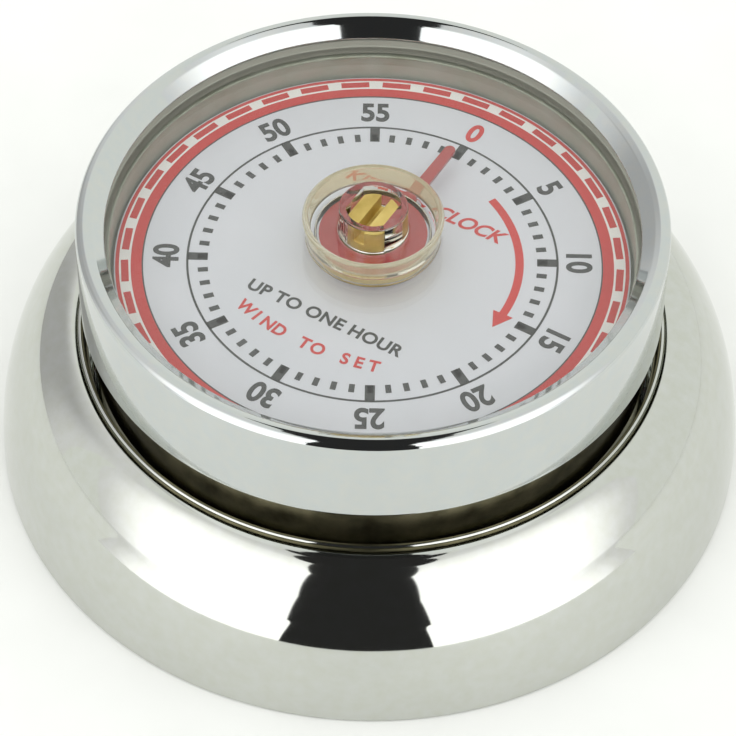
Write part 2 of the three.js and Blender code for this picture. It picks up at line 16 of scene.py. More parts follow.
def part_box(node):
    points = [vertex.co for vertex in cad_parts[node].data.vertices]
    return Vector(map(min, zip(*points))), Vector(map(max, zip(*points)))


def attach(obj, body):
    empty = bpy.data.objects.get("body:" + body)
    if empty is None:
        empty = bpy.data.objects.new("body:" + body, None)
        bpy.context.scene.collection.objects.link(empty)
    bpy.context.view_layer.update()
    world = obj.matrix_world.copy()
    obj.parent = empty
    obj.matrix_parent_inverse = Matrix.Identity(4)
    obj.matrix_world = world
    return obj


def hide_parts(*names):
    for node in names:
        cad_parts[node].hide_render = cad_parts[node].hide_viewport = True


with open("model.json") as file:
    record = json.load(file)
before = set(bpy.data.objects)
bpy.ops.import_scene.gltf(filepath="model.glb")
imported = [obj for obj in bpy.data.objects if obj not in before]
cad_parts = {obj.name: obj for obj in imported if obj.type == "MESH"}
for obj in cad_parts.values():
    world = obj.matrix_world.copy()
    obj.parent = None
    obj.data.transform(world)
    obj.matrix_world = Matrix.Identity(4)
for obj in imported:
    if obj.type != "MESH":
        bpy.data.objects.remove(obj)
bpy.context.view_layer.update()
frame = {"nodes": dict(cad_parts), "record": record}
nodes = frame["nodes"]
MM = 0.001

# %% [markdown]
# Heights and radii are read from the solids, so every piece below follows them. All sizes
# in this script are millimetres until the moment that a mesh is written.

# %% Read the driving sizes
def low(node):
    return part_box(node)[0].z / MM


def high(node):
    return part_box(node)[1].z / MM


def radius(node):
    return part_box(node)[1].x / MM


DIAL_Z = high("dial_plate")
DIAL_R = radius("dial_plate")
CREST_Z = high("bezel_ring")
SKIRT_Z = low("bezel_ring")
BEZEL_R = radius("bezel_ring")
FOOT_R = radius("base_shell")
BASE_TOP = high("base_shell")
SCALE_R = 16.9           # the thin ring that the minute marks hang from
print("dial face at", round(DIAL_Z, 2), "mm, crest at", round(CREST_Z, 2), "mm")

# %% [markdown]
# ## Camera
# The view is that of someone bending over a worktop: a long lens from about 30 cm, with
# the 25 of the dial nearest. A long lens keeps the circles close to true ellipses.

# %% Place the camera
VIEW_ELEVATION = math.radians(47.62)
VIEW_AZIMUTH = math.radians(30)
VIEW_DISTANCE = 309.3
LENS_MM = 165.45
ROLL = math.radians(1.1)
AIM_BELOW_DIAL = 14.89   # the camera looks at a point on the axis, this far under the dial
AIM_SIDE = -0.22         # and this far to the right of it
SENSOR_MM = 36


def towards_viewer(azimuth, elevation):
    flat = math.cos(elevation)
    return Vector((math.sin(azimuth) * flat, -math.cos(azimuth) * flat, math.sin(elevation)))


def place_camera():
    away = towards_viewer(VIEW_AZIMUTH, VIEW_ELEVATION)
    eye = Vector((0, 0, DIAL_Z)) + away * VIEW_DISTANCE
    right = Vector((math.cos(VIEW_AZIMUTH), math.sin(VIEW_AZIMUTH), 0))
    aim = Vector((0, 0, DIAL_Z - AIM_BELOW_DIAL)) + right * AIM_SIDE
    turn = (aim - eye).to_track_quat("-Z", "Y").to_matrix() @ Matrix.Rotation(ROLL, 3, "Z")
    data = bpy.data.cameras.new("camera")
    data.lens = LENS_MM
    data.sensor_width = SENSOR_MM
    data.clip_start = 0.01
    camera = bpy.data.objects.new("camera", data)
    camera.matrix_world = Matrix.Translation(eye * MM) @ turn.to_4x4()
    bpy.context.scene.collection.objects.link(camera)
    bpy.context.scene.camera = camera
    return camera


camera = place_camera()
print("camera at", [round(v, 3) for v in camera.matrix_world.translation])

# %% [markdown]
# ## Materials
# Polished metal has almost no colour of its own, so its look is what stands round it plus
# faint fine marks. One function turns sRGB hex values into the linear values that shaders
# use, and one adds a node with its settings and links.

# %% Colour and node helpers
def linear(hex_colour):
    values = [int(hex_colour[i:i + 2], 16) / 255 for i in (0, 2, 4)]
    return tuple(v / 12.92 if v <= 0.04045 else ((v + 0.055) / 1.055) ** 2.4 for v in values) + (1.0,)


def add_node(tree, kind, links=None, **settings):
    node = tree.nodes.new(kind)
    for key, value in settings.items():
        if hasattr(node, key):
            setattr(node, key, value)
        else:
            node.inputs[key.replace("_", " ")].default_value = value
    for socket, source in (links or {}).items():
        tree.links.new(source, node.inputs[socket])
    return node


def new_material(name, **shader):
    material = bpy.data.materials.new(name)
    material.use_nodes = True
    tree = material.node_tree
    surface = tree.nodes["Principled BSDF"]
    for socket, value in shader.items():
        surface.inputs[socket.replace("_", " ")].default_value = value
    coordinates = add_node(tree, "ShaderNodeTexCoord").outputs["Object"]
    return material, tree, surface, coordinates


def ramp(tree, source, stops):
    node = add_node(tree, "ShaderNodeValToRGB", {"Fac": source})
    elements = node.color_ramp.elements
    for i, (place, colour) in enumerate(stops):
        element = elements[i] if i < 2 else elements.new(place)
        element.position = place
        element.color = colour
    return node.outputs["Color"]


def grey(value):
    return (value, value, value, 1.0)

# %% [markdown]
# **Bright chrome on deep-drawn steel.** The plating is a mirror. Under it the drawn sheet
# is very slightly uneven, which bends long reflections, and handling leaves a thin film
# that dulls it in patches. Both are noises at real sizes: waves of 9 mm and smears of
# 1 mm. The bezel's plating is a touch bluer than the base's.

# %% Chrome
WAVES = 110.0            # noise cells per metre, 9 mm each
SMEARS = 900.0           # 1.1 mm each


def bright_chrome(name, colour, dull=0.03, wave=0.02):
    material, tree, surface, at = new_material(name, Metallic=1.0)
    waves = add_node(tree, "ShaderNodeTexNoise", {"Vector": at}, Scale=WAVES, Detail=1.0)
    smears = add_node(tree, "ShaderNodeTexNoise", {"Vector": at}, Scale=SMEARS, Detail=5.0)
    smear = smears.outputs["Fac"]
    film = add_node(tree, "ShaderNodeMapRange", {"Value": smear}, To_Min=dull, To_Max=dull + 0.03)
    tree.links.new(film.outputs["Result"], surface.inputs["Roughness"])
    tint = ramp(tree, smear, [(0.3, linear(colour)), (0.75, linear("C8CAC6"))])
    tree.links.new(tint, surface.inputs["Base Color"])
    bump = add_node(tree, "ShaderNodeBump", {"Height": waves.outputs["Fac"]}, Strength=wave, Distance=0.001)
    tree.links.new(bump.outputs["Normal"], surface.inputs["Normal"])
    return material


chrome = bright_chrome("bright_chrome", "C3C5BD")
bezel_chrome = bright_chrome("blue_chrome", "C3C8C8")
print("made", chrome.name, bezel_chrome.name)

# %% [markdown]
# **Turned, ground and lacquered metals.** A lathe leaves fine rings round the axis. They
# are a wave texture on the distance from the axis, and a noise darkens the metal in
# patches. At 0.75 mm apart the rings are drawn coarser than real, so that they show. The
# lacquered tray and the milled shaft are less metallic: a thin film or a dull cut scatters
# light, so they stay light when they face something dark.

# %% Turned, ground and plated metals
WAVE_RADIANS = 20        # a wave texture runs through this many radians per metre at scale 1
FINE_RINGS, WIDE_RINGS = 0.12, 0.3          # mm per radian, so the rings are 0.75 and 1.9 mm apart
PATCHES = 420.0          # noise cells per metre, 2.4 mm each


def turned_metal(name, colour, dark, rough, rings_mm=FINE_RINGS, depth=0.04, metallic=1.0):
    material, tree, surface, at = new_material(name, Metallic=metallic)
    rings = add_node(
        tree, "ShaderNodeTexWave", {"Vector": at}, wave_type="RINGS", rings_direction="Z",
        Scale=1 / (WAVE_RADIANS * rings_mm * MM), Distortion=0.6, Detail=2.0,
    )
    patches = add_node(tree, "ShaderNodeTexNoise", {"Vector": at}, Scale=PATCHES, Detail=5.0)
    patch = patches.outputs["Fac"]
    tint = ramp(tree, patch, [(0.3, linear(dark)), (0.65, linear(colour))])
    tree.links.new(tint, surface.inputs["Base Color"])
    film = add_node(tree, "ShaderNodeMapRange", {"Value": patch}, To_Min=rough - 0.05, To_Max=rough + 0.1)
    tree.links.new(film.outputs["Result"], surface.inputs["Roughness"])
    ring = rings.outputs["Fac"]
    bump = add_node(tree, "ShaderNodeBump", {"Height": ring}, Strength=depth, Distance=0.0002)
    tree.links.new(bump.outputs["Normal"], surface.inputs["Normal"])
    return material


brass = turned_metal("turned_brass", "D2B04C", "A88834", 0.22)
steel = turned_metal("ground_steel", "B4B5B2", "8E8F8C", 0.3)
spring_steel = turned_metal("blued_spring_steel", "5C636E", "3F444D", 0.25)
# The collar's dark olive colour is painted shade and painted reflection: it stands for the shadowed groove
# under the bezel and the dark undersides mirrored in it.
neck_painted_shade_metal = turned_metal("steel_tinted_as_painted_shade", "8A846A", "5E5A46", 0.34, WIDE_RINGS, 0.02)
satin = turned_metal("satin_grey_lacquer", "9FA499", "939889", 0.5, WIDE_RINGS, metallic=0.3)
zinc = turned_metal("satin_zinc_plate", "B0B3AB", "A6A9A1", 0.4, WIDE_RINGS, metallic=0.9)
milled_brass = turned_metal("milled_brass", "DCC478", "BCA155", 0.4, metallic=0.6)
metals = (brass, steel, spring_steel, neck_painted_shade_metal, zinc, satin, milled_brass)
print("made", ", ".join(metal.name for metal in metals))

# %% [markdown]
# **Printed card, inks, window and magnet.** The dial is coated card: matt, cool white,
# with a faint paper grain and clouds too pale to notice. Inks sit on it a little glossier
# than the card. The window is moulded acrylic (IOR 1.49), whose flow lines bend light a
# little. The magnet is ground ferrite, almost black and sugary.

# %% Card, inks and ferrite
CLOUDS = 90.0            # noise cells per metre, 11 mm each


def coated(name, colour, second, rough, grain_mm=0.15, depth=0.1, **shader):
    material, tree, surface, at = new_material(name, Roughness=rough, **shader)
    grain = add_node(tree, "ShaderNodeTexNoise", {"Vector": at}, Scale=1 / (grain_mm * MM), Detail=3.0)
    clouds = add_node(tree, "ShaderNodeTexNoise", {"Vector": at}, Scale=CLOUDS, Detail=2.0)
    tint = ramp(tree, clouds.outputs["Fac"], [(0.35, linear(colour)), (0.7, linear(second))])
    tree.links.new(tint, surface.inputs["Base Color"])
    height = grain.outputs["Fac"]
    bump = add_node(tree, "ShaderNodeBump", {"Height": height}, Strength=depth, Distance=0.0001)
    tree.links.new(bump.outputs["Normal"], surface.inputs["Normal"])
    return material


card = coated("coated_card", "CDCFDA", "C8CBD6", 0.5)
dark_ink = coated("charcoal_ink", "24272B", "2C2F33", 0.4)
red_ink = coated("red_ink", "C62625", "BE2020", 0.4)
lacquer = coated("red_lacquer", "9E2225", "951E21", 0.25, 0.3, 0.03, Coat_Weight=0.6, Coat_Roughness=0.08)
ferrite = coated("ground_ferrite", "2E2E30", "242426", 0.55, 0.2, 0.4)
white_line = coated("white_ink", "E9E7E8", "E2E0E3", 0.45)
print("made inks, card and ferrite")

# %% [markdown]
# **Acrylic, clear, straw and matt.** One function makes all three: the share of light that
# passes through goes down from the clear pane to the straw cup wall, and to nothing where
# the pane is left matt.

# %% Acrylic
FLOW_LINES = 140.0       # noise cells per metre, 7 mm each


def moulded_acrylic(name, colour, clear=1.0, rough=0.02):
    material, tree, surface, at = new_material(
        name, Roughness=rough, IOR=1.49, Transmission_Weight=clear, Base_Color=linear(colour),
    )
    flow = add_node(tree, "ShaderNodeTexNoise", {"Vector": at}, Scale=FLOW_LINES, Detail=1.0)
    bump = add_node(tree, "ShaderNodeBump", {"Height": flow.outputs["Fac"]}, Strength=0.015, Distance=0.001)
    tree.links.new(bump.outputs["Normal"], surface.inputs["Normal"])
    return material


acrylic = moulded_acrylic("clear_acrylic", "FCFCF8")
warm_acrylic = moulded_acrylic("straw_tinted_acrylic", "EDE6CB", 0.76)
matt_acrylic = moulded_acrylic("matt_grey_acrylic", "9C9C92", 0.0, 0.55)
print("made", acrylic.name, warm_acrylic.name, matt_acrylic.name)

# %% [markdown]
# ## Turned shells
# Everything in the case is round, so one function turns an outline of (radius, height)
# points about the axis. Real sheet has no sharp edges: each corner can be given a radius,
# and the function puts an arc of points there before turning. Beside each arc goes one
# more point, or the smooth shading would run on into the flat wall and bend reflections.

# %% Outline and lathe helpers
FINE = 192               # facets round a large shell
SUPPORT = 0.06           # distance of the edge that keeps a wall flat beside a rounded corner
CREASE = math.radians(38)          # a sharper turn than this is shaded as an edge
ON_AXIS = 1e-6           # a smaller radius counts as on the axis
WELD = 1e-4              # points nearer than this are one point


def arc_corner(before, corner, after, size, steps=6):
    before, corner, after = Vector(before), Vector(corner), Vector(after)
    a, b = (before - corner).normalized(), (after - corner).normalized()
    half = a.angle(b) / 2
    back = min(size / math.tan(half), (before - corner).length * 0.49, (after - corner).length * 0.49)
    true_size = back * math.tan(half)
    centre = corner + (a + b).normalized() * (true_size / math.sin(half))
    start, end = corner + a * back - centre, corner + b * back - centre
    swing = start.angle(end)
    points = []
    for i in range(steps + 1):
        t = i / steps
        point = (start * math.sin((1 - t) * swing) + end * math.sin(t * swing)) / math.sin(swing)
        points.append(tuple(centre + point))
    return points


def beside(neighbour, arc_end):
    """A point just past the arc, so that the flat wall after it shades flat."""
    gap = Vector(neighbour[:2]) - Vector(arc_end)
    if gap.length < 4 * SUPPORT:
        return []
    return [tuple(Vector(arc_end) + gap.normalized() * SUPPORT)]


def rounded(outline, closed=True):
    """Outline of (r, z) or (r, z, corner radius) points with its corners rounded."""
    result = []
    count = len(outline)
    for i, point in enumerate(outline):
        before, after = outline[i - 1], outline[(i + 1) % count]
        if len(point) == 2 or (not closed and i in (0, count - 1)):
            result.append(point[:2])
        else:
            arc = arc_corner(before[:2], point[:2], after[:2], point[2])
            result += beside(before, arc[0]) + arc + beside(after, arc[-1])
    return result


def link_mesh(name, bm, material, smooth=True):
    bmesh.ops.remove_doubles(bm, verts=bm.verts, dist=WELD)
    bmesh.ops.recalc_face_normals(bm, faces=bm.faces)
    mesh = bpy.data.meshes.new(name)
    bm.to_mesh(mesh)
    bm.free()
    mesh.transform(Matrix.Scale(MM, 4))
    if smooth:
        mesh.polygons.foreach_set("use_smooth", [True] * len(mesh.polygons))
        mesh.set_sharp_from_angle(angle=CREASE)
    piece = bpy.data.objects.new(name, mesh)
    bpy.context.scene.collection.objects.link(piece)
    piece.data.materials.append(material)
    return piece


def revolve(bm, outline, facets, closed=True):
    rings = []
    for k in range(facets):
        a = 2 * math.pi * k / facets
        c, s = math.cos(a), math.sin(a)
        rings.append([bm.verts.new((r * c, r * s, z)) for r, z in outline])
    count = len(outline)
    for k in range(facets):
        here, there = rings[k], rings[(k + 1) % facets]
        for i in range(count if closed else count - 1):
            j = (i + 1) % count
            corners = [here[i], there[i], there[j], here[j]]
            if outline[i][0] < ON_AXIS:
                corners = [here[i], there[j], here[j]]
            if outline[j][0] < ON_AXIS:
                corners = [here[i], there[i], here[j]]
            if max(outline[i][0], outline[j][0]) > ON_AXIS:
                bm.faces.new(corners)


def turned(name, outline, material, facets=FINE, closed=True):
    bm = bmesh.new()
    revolve(bm, rounded(outline, closed), facets, closed)
    return link_mesh(name, bm, material)


def finish_piece(piece, body, slot, *replaced):
    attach(piece, body)
    if replaced:
        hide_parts(*replaced)
    print(piece.name, "on", body, len(piece.data.polygons), "faces")
    return piece

# %% [markdown]
# ### Base shell
# One disc of steel, drawn in a press into a bun shape and rolled at the mouth. From lip
# to foot the outside is a quarter of an ellipse. It ends in a tight foot radius, so it is
# written as that curve and not as points picked by eye.

# %% Base shell
LIP_R = 27.4
BEAD_R = 27.03           # middle of the rolled bead
BEAD = 0.3               # radius of the bead's own round
SHEET = 0.7
FOOT_Z = 0.35            # height where the ellipse turns into the foot
SEAT_Z, SEAT_LOW = 13.6, 13.05     # the rim folds in here, as a seat for the neck collar
SEAT_R_IN = 25.95
FOOT_IN_R = 33.0         # inner edge of the turned-in foot
OFF_TABLE = 0.02         # the foot clears the table by this much


def quarter_ellipse(middle, wide, tall, steps, first, last):
    angles = [first + (last - first) * i / steps for i in range(steps + 1)]
    return [(middle[0] + wide * math.cos(a), middle[1] + tall * math.sin(a)) for a in angles]


def base_outline():
    middle, wide, tall = (LIP_R, FOOT_Z), FOOT_R - LIP_R, BASE_TOP - FOOT_Z
    outer = quarter_ellipse(middle, wide, tall, 48, 0.02, 1.54)
    inner = quarter_ellipse(middle, wide - SHEET, tall - SHEET, 24, 0.06, 1.45)
    round_bead = [math.radians(degrees) for degrees in range(20, 181, 20)]
    roll = [(BEAD_R + BEAD * math.cos(a), BASE_TOP - BEAD + BEAD * math.sin(a)) for a in round_bead]
    groove = [(LIP_R, BASE_TOP - 0.06), (LIP_R - 0.07, BASE_TOP - 0.25)]
    seat = [
        (BEAD_R - BEAD, SEAT_Z, 0.3), (SEAT_R_IN, SEAT_Z), (SEAT_R_IN, SEAT_LOW),
        (LIP_R - 0.1, SEAT_LOW, 0.3),
    ]
    foot = [(FOOT_IN_R, SHEET), (FOOT_IN_R, OFF_TABLE, 0.2), (FOOT_R - OFF_TABLE, OFF_TABLE, 0.33)]
    return outer + groove + roll + seat + inner[::-1] + foot


base_shell = turned("base_shell_fine", base_outline(), chrome)
finish_piece(base_shell, "case", "chromed_steel", "base_shell")

# %% [markdown]
# ### Neck collar
# The collar stands in the shadow between base and bezel. It carries the dial cup and
# guides the bezel.

# %% Neck collar
NECK_R = 25.5
NECK_WALL = 0.6
FLANGE_R = NECK_R + 1.6
FLANGE_LOW, FLANGE_TOP, NECK_TOP = 11.9, 12.6, 22.0
# The collar's dark olive colour is painted shade for the groove under the bezel.
neck = turned("neck_collar_fine", [
    (NECK_R - NECK_WALL, FLANGE_LOW), (FLANGE_R, FLANGE_LOW, 0.2), (FLANGE_R, FLANGE_TOP, 0.2),
    (NECK_R, FLANGE_TOP, 0.4), (NECK_R, NECK_TOP, 0.2), (NECK_R - NECK_WALL, NECK_TOP, 0.2),
], neck_painted_shade_metal)
finish_piece(neck, "case", "chromed_steel", "neck_collar")

# %% [markdown]
# ### Bezel
# A drawn ring with a straight skirt. Its top is folded in over the window, rounded
# outside and sloping to the lip inside. The skirt's lower edge is simply cut, with the
# burr broken.

# %% Bezel ring
CREST_R = 26.0           # the top of the ring is round from here out to the skirt
SLOPE_TOP = (25.35, 28.7)
LIP_TOP = (24.25, 27.72)
LIP_LOW = (24.4, 27.42)


def bezel_outline():
    inner = BEZEL_R - SHEET
    return [
        (inner, SKIRT_Z, 0.15), (BEZEL_R, SKIRT_Z, 0.15), (BEZEL_R, CREST_Z - 0.22, 0.75),
        (CREST_R, CREST_Z, 0.5), (*SLOPE_TOP, 0.7), (*LIP_TOP, 0.12), (*LIP_LOW, 0.12),
        (25.7, 28.25, 0.3), (inner, 28.2, 0.4),
    ]


bezel = turned("bezel_ring_fine", bezel_outline(), bezel_chrome)
finish_piece(bezel, "bezel", "chromed_steel", "bezel_ring")

# %% [markdown]
# ### Cut shapes
# Some pieces aren't turned. One helper makes a slab from a flat outline, one cuts or joins
# two solids with a boolean, and one bevels the edges. The outline of a shaft with two
# flats is worked out here, because the bores that take the shaft share it.

# %% Flat outlines, cutting and bevels
def solid_slab(name, outline, z0, z1, material):
    """Closed slab on a list of (x, y) points that runs anticlockwise."""
    bm = bmesh.new()
    face = bm.faces.new([bm.verts.new((x, y, z0)) for x, y in outline])
    grown = bmesh.ops.extrude_face_region(bm, geom=[face])
    for item in grown["geom"]:
        if isinstance(item, bmesh.types.BMVert):
            item.co.z = z1
    return link_mesh(name, bm, material, False)


def double_d(grow=0.0, steps=14):
    """Section of the shaft: a circle with two flats, or a hole that clears it by grow."""
    wide, flat = SHAFT_R + grow, SHAFT_FLAT + grow
    limit = math.acos(flat / wide)
    spread = math.pi - 2 * limit
    half = [limit + spread * i / steps for i in range(steps + 1)]
    return [(wide * math.cos(a), wide * math.sin(a)) for a in half + [a + math.pi for a in half]]


SLIVER = 1e-7            # metres; a cut leaves edges shorter than this, which are closed up


def apply_modifiers(piece):
    graph = bpy.context.evaluated_depsgraph_get()
    mesh = bpy.data.meshes.new_from_object(piece.evaluated_get(graph))
    piece.modifiers.clear()
    bm = bmesh.new()
    bm.from_mesh(mesh)
    bmesh.ops.dissolve_degenerate(bm, dist=SLIVER, edges=bm.edges)
    bm.to_mesh(mesh)
    bm.free()
    piece.data = mesh
    return piece


def combine(piece, tool, operation="DIFFERENCE"):
    modifier = piece.modifiers.new("cut", "BOOLEAN")
    modifier.operation = operation
    modifier.solver = "EXACT"
    modifier.object = tool
    apply_modifiers(piece)
    bpy.data.objects.remove(tool)
    return piece


def soften(piece, width_mm, segments=3):
    modifier = piece.modifiers.new("edge", "BEVEL")
    modifier.width = width_mm * MM
    modifier.segments = segments
    modifier.limit_method = "ANGLE"
    modifier.angle_limit = math.radians(40)
    return apply_modifiers(piece)

# %% [markdown]
# ### Winding shaft
# Brass bar turned to 4 mm, milled with two flats at the top and slotted. The section is a
# circle with two flats; the slot is cut with a boolean and the edges are bevelled, as a
# cutter leaves a bright edge that catches light.

# %% Winding shaft
SHAFT_R = 2.4
SHAFT_FLAT = 1.85
SHAFT_TOP = high("winding_arbor")
SLOT_WIDTH, SLOT_DEPTH = 0.95, 1.5
ROUND_TOP = 22.4         # the two flats start here, above the plain round stem


def winding_head():
    head = solid_slab("winding_arbor_head", double_d(), ROUND_TOP, SHAFT_TOP, milled_brass)
    w, long = SLOT_WIDTH / 2, 2 * SHAFT_R
    corners = [(-w, -long), (w, -long), (w, long), (-w, long)]
    slot = solid_slab("slot", corners, SHAFT_TOP - SLOT_DEPTH, SHAFT_TOP + 1, milled_brass)
    return soften(combine(head, slot), 0.1)


SHAFT_LOW = low("winding_arbor")
PIVOT_R, STEM_R = 0.9, 2.0
STEM_LOW = 10.7
shaft_stem = turned("winding_arbor_stem", [
    (0, SHAFT_LOW), (PIVOT_R, SHAFT_LOW, 0.1), (PIVOT_R, STEM_LOW), (STEM_R, STEM_LOW, 0.15),
    (STEM_R, ROUND_TOP), (0, ROUND_TOP),
], milled_brass, 64, closed=False)
finish_piece(winding_head(), "bezel", "brass", "winding_arbor")
finish_piece(shaft_stem, "bezel", "brass")

# %% [markdown]
# ### Window
# One acrylic moulding: a flat pane with a cup in the middle, and in the cup a tube that
# grips the two flats of the brass shaft. It is a closed body with real thickness, so
# light bends in it as in the real one. The cup's thick wall gets a straw acrylic, because
# light travels a long way through it and comes out yellow. The rim of the pane is matt,
# where it is clamped, so the grey wall seems to run up to the bezel's lip.

# %% Window
PANE_LOW = 25.6
PANE_TOP = PANE_LOW + 0.8
EDGE_TOP = PANE_LOW + 1.5
EDGE_R = 24.65
SEAT_R = 24.1            # from here out the pane is matt
CUP_R = 6.45
CUP_WALL = 0.75
CUP_TOP = 29.15
CUP_FLOOR = 27.4
ROOF = CUP_FLOOR - 0.5   # ceiling of the pocket under the cup
TUBE_R = 3.2
TUBE_TOP = high("lens")
POCKET_R = 5.3
LENS_R = radius("lens")
TUBE_PLAY, HUB_PLAY = 0.14, 0.3    # room round the shaft in the tube and in the pointer's hub


def window_outline():
    return [
        (0, ROOF), (POCKET_R, ROOF, 0.2), (POCKET_R, PANE_LOW, 0.15), (SEAT_R, PANE_LOW),
        (LENS_R, PANE_LOW, 0.15), (LENS_R, EDGE_TOP, 0.15), (EDGE_R, EDGE_TOP, 0.1),
        (EDGE_R - 0.1, PANE_TOP, 0.1), (CUP_R - 0.35, PANE_TOP, 0.2), (CUP_R, CUP_TOP, 0.25),
        (CUP_R - 0.55, CUP_TOP, 0.22), (CUP_R - CUP_WALL, CUP_FLOOR, 0.35), (TUBE_R, CUP_FLOOR, 0.25),
        (TUBE_R - 0.08, TUBE_TOP, 0.2), (0, TUBE_TOP),
    ]


def acrylic_kind(middle):
    """0 clear, 1 straw, 2 matt, for a face of the window with this middle."""
    out = middle.xy.length / MM
    if CUP_R - CUP_WALL - 0.05 < out <= CUP_R and middle.z > (PANE_TOP + 0.1) * MM:
        return 1
    return 2 if out > SEAT_R else 0


def window():
    blank = turned("lens_fine", window_outline(), acrylic, closed=False)
    bore = solid_slab("bore", double_d(TUBE_PLAY), ROOF - 1, TUBE_TOP + 1, acrylic)
    pane = combine(blank, bore)
    pane.data.polygons.foreach_set("use_smooth", [True] * len(pane.data.polygons))
    pane.data.set_sharp_from_angle(angle=CREASE)
    pane.data.materials.clear()
    for material in (acrylic, warm_acrylic, matt_acrylic):
        pane.data.materials.append(material)
    for face in pane.data.polygons:
        face.material_index = acrylic_kind(face.center)
    return pane


lens = window()
lens.visible_shadow = False        # daylight reaches the dial straight through the clear pane
finish_piece(lens, "bezel", "clear_window", "lens")

# %% [markdown]
# ### Pointer
# A red hand on a brass hub: a thick round hub in the pocket under the cup, shoulders that
# sweep into a thin arm, and a round tip. The top and the arm are lacquered red. The side
# of the hub is left bare, and shows straw yellow through the cup's wall.

# %% Pointer
HUB_R = 4.95
HUB_LOW_R = 4.1
HUB_TOP = high("pointer")
ARM_LOW = low("pointer")
ARM_TOP = ARM_LOW + 0.45
ARM_LONG = 14.0
TIP_WIDE, TIP_LONG = 0.52, 0.5     # half the arm's width at the tip, and how far the tip is round


def hand_outline():
    angles = [math.pi * i / 10 for i in range(11)]
    tip = [(TIP_WIDE * math.cos(a), ARM_LONG + TIP_LONG * math.sin(a)) for a in angles]
    side = [(0.56, 10.5), (0.62, 7.2), (0.95, 5.7), (2.0, 4.6), (3.2, 3.5)]
    return tip[1:] + [(-x, y) for x, y in side] + side[::-1] + tip[:1]


def on_hub_side(face):
    out, up = face.center.xy.length / MM, face.center.z / MM
    return HUB_LOW_R - 0.2 < out < HUB_R + 0.02 and up < HUB_TOP - 0.15 and abs(face.normal.z) < 0.8


def pointer_hand():
    cone = [(0, ARM_LOW), (HUB_LOW_R, ARM_LOW), (HUB_R, HUB_TOP), (0, HUB_TOP)]
    hub = turned("pointer_fine", cone, lacquer, 96, closed=False)
    arm = solid_slab("arm", hand_outline(), ARM_LOW, ARM_TOP, lacquer)
    bore = solid_slab("bore", double_d(HUB_PLAY), ARM_LOW - 1, HUB_TOP + 1, lacquer)
    hand = combine(soften(combine(hub, arm, "UNION"), 0.08, 2), bore)
    hand.data.materials.append(milled_brass)
    bare = len(hand.data.materials) - 1
    for face in hand.data.polygons:
        face.material_index = bare if on_hub_side(face) else 0
    return hand


finish_piece(pointer_hand(), "bezel", "red_lacquer", "pointer")

# %% [markdown]
# ### Dial cup and dial card
# The cup is a tray in satin grey lacquer, and its wall shows as the grey band round the
# dial. The card lies in it, with a thin bare edge left outside the printing.

# %% Dial cup and card
WALL_R = DIAL_R + 0.3
HOLE_R = 3               # the shaft's hole in the tray and the card
TRAY_R, TRAY_LOW, TRAY_FLOOR, TRAY_TOP = 24.5, 21.5, 22.1, 25.3
RING_R, RING_LOW, RING_TOP = 25.85, 22.3, 22.8           # the ring that the tray hangs by
cup = turned("dial_cup_fine", [
    (HOLE_R, TRAY_LOW), (TRAY_R, TRAY_LOW, 0.3), (TRAY_R, RING_LOW), (RING_R, RING_LOW, 0.1),
    (RING_R, RING_TOP, 0.1), (TRAY_R, RING_TOP, 0.15), (TRAY_R, TRAY_TOP, 0.15), (WALL_R, TRAY_TOP, 0.15),
    (WALL_R, TRAY_FLOOR, 0.25), (HOLE_R, TRAY_FLOOR),
], satin)
finish_piece(cup, "case", "satin_zinc", "dial_cup")
CARD_LOW, CARD_TOP = DIAL_Z - 0.4, DIAL_Z - 0.03
dial = turned("dial_card", [
    (HOLE_R, CARD_LOW), (DIAL_R, CARD_LOW), (DIAL_R, CARD_TOP, 0.05), (HOLE_R, CARD_TOP),
], card)
finish_piece(dial, "case", "printed_dial", "dial_plate")

# %% [markdown]
# ### Printing on the dial
# Sixty minute marks, twelve longer five-minute marks and the dashes of the border repeat
# round the dial, so one Geometry Nodes tree makes them: points on a circle, one small
# block on each, turned to face the centre. Its inputs are the count, the circle, the size,
# the angle of the first mark, the height and the ink. The result is turned into a plain
# mesh.

